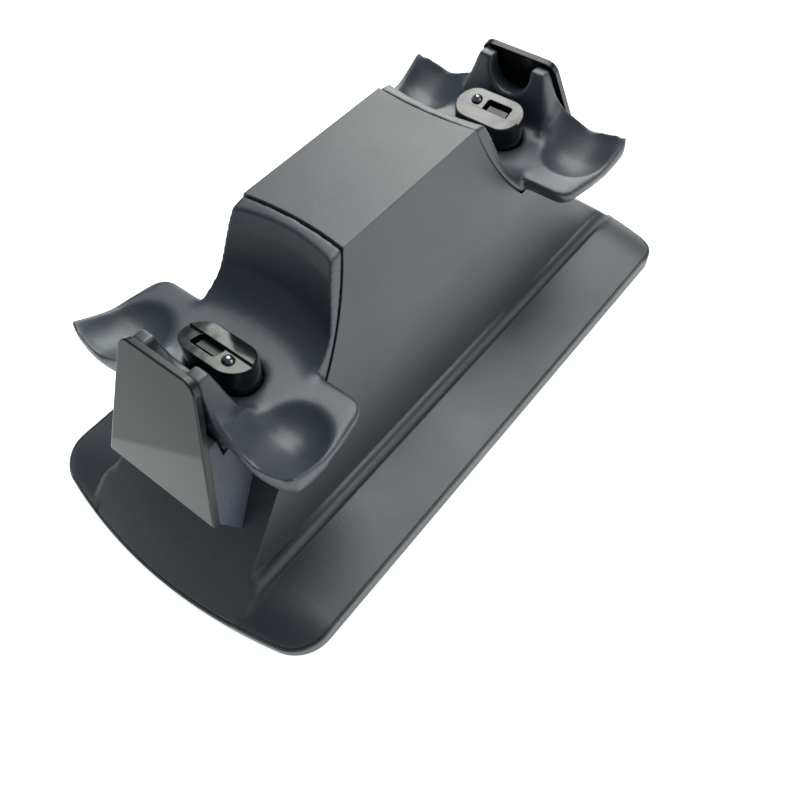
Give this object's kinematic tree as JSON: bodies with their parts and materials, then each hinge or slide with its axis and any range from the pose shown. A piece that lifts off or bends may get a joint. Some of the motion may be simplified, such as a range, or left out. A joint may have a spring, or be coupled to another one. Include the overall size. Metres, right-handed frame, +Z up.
{
  "type": "controller charging dock",
  "caption": "Black desk dock that charges game pads in cradles on both ends of a tapered tower, with glossy end panels and a low wide base.",
  "frame": {"origin": "on the table under the middle of the base, at the bottom of the feet", "axes": "X runs along the dock from one cradle to the other, Y from the front long side to the back with the power inlet at +Y, Z is up"},
  "size_m": [0.1976, 0.1, 0.0773],
  "materials": {
    "matte_shell": "black, fine spark texture",
    "gloss_trim": "black, polished",
    "contact_plate": "pale plated strip",
    "peg_chrome": "polished plating",
    "circuit_board": "green solder mask",
    "inlet_steel": "drawn sheet",
    "screw_steel": "dull zinc",
    "lamp_lens": "clear lens",
    "lead_sleeve": "soft black sleeve",
    "foot_rubber": "matte black"
  },
  "bodies": {
    "root": {"main_housing": "matte_shell", "base_plate": "matte_shell", "cradle_left": "matte_shell", "cradle_right": "matte_shell", "support_left": "matte_shell", "support_right": "matte_shell", "end_panel_left": "gloss_trim", "end_panel_right": "gloss_trim", "connector_post_left": "gloss_trim", "connector_post_right": "gloss_trim", "contact_left": "contact_plate", "contact_right": "contact_plate", "locating_peg_left": "peg_chrome", "locating_peg_right": "peg_chrome", "main_board": "circuit_board", "connector_board_left": "circuit_board", "connector_board_right": "circuit_board", "power_inlet": "inlet_steel", "base_screws": "screw_steel", "cradle_screws": "screw_steel", "support_screws": "screw_steel", "board_screws": "screw_steel", "indicator_lamp_left": "lamp_lens", "indicator_lamp_right": "lamp_lens", "lead_left": "lead_sleeve", "lead_right": "lead_sleeve", "foot_1": "foot_rubber", "foot_2": "foot_rubber", "foot_3": "foot_rubber", "foot_4": "foot_rubber"}
  },
  "joints": []
}
